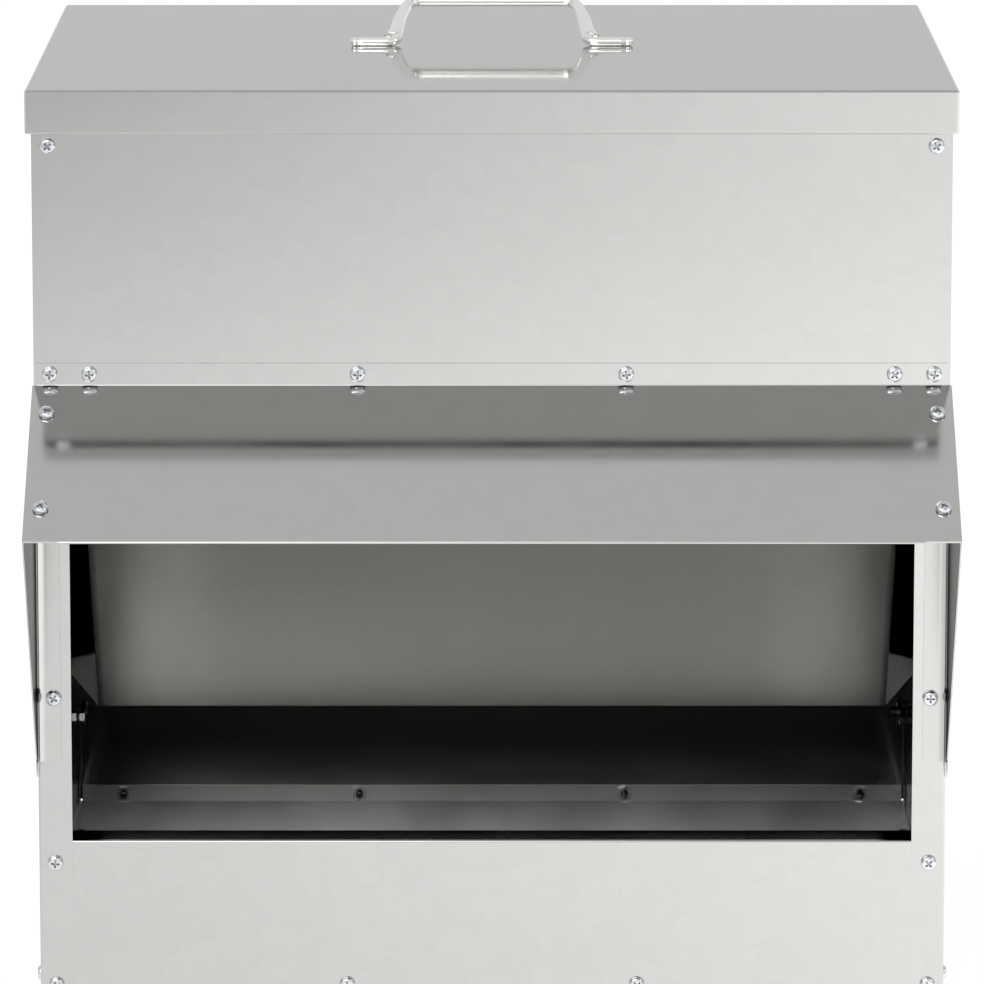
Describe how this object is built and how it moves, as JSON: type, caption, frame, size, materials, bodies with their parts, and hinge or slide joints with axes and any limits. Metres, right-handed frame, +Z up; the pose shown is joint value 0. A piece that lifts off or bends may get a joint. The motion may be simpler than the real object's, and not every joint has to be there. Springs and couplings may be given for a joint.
{
  "type": "chicken feeder",
  "caption": "Galvanised hopper feeder for chickens: lift-off lid with a wire handle, sloping rain hood, side cheeks and an open trough with a folded lip.",
  "frame": {"origin": "middle of the body's rectangular base, on the surface that the feeder stands on", "axes": "+Z up, -Y towards the birds at the open trough, +X to the right of someone who faces the trough"},
  "size_m": [0.466, 0.455, 0.4919],
  "materials": {
    "galvanised_sheet": "smooth galvanised steel sheet, satin with soft reflections",
    "polished_wire": "polished stainless steel wire",
    "zinc_fasteners": "bright zinc-plated steel"
  },
  "bodies": {
    "housing": {"side_panel_right": "galvanised_sheet", "side_panel_left": "galvanised_sheet", "hopper_front_panel": "galvanised_sheet", "back_panel": "galvanised_sheet", "trough_front_panel": "galvanised_sheet", "floor_tray": "galvanised_sheet", "feed_baffle": "galvanised_sheet", "rain_hood": "galvanised_sheet", "hood_cheek_right": "galvanised_sheet", "hood_cheek_left": "galvanised_sheet", "hopper_corner_screws": "zinc_fasteners", "hood_flange_screws": "zinc_fasteners", "hood_slope_screws": "zinc_fasteners", "cheek_post_screws": "zinc_fasteners", "trough_corner_screws": "zinc_fasteners", "base_corner_screws": "zinc_fasteners", "base_front_screws": "zinc_fasteners", "base_side_screws": "zinc_fasteners", "rear_base_screws": "zinc_fasteners", "rear_column_screws": "zinc_fasteners", "baffle_side_screws": "zinc_fasteners", "hopper_corner_nuts": "zinc_fasteners", "hood_flange_nuts": "zinc_fasteners", "hood_slope_nuts": "zinc_fasteners", "cheek_post_nuts": "zinc_fasteners", "trough_corner_nuts": "zinc_fasteners", "base_corner_nuts": "zinc_fasteners", "base_front_nuts": "zinc_fasteners", "base_side_nuts": "zinc_fasteners", "rear_base_nuts": "zinc_fasteners", "rear_column_nuts": "zinc_fasteners", "baffle_side_nuts": "zinc_fasteners"},
    "lid": {"lid_cover": "galvanised_sheet", "lid_handle": "polished_wire", "lid_handle_screws": "zinc_fasteners"}
  },
  "joints": [
    {"name": "lid_lift", "type": "slide", "parent": "housing", "child": "lid", "axis": [0, 0, 1], "range_m": [0, 0.12]}
  ]
}
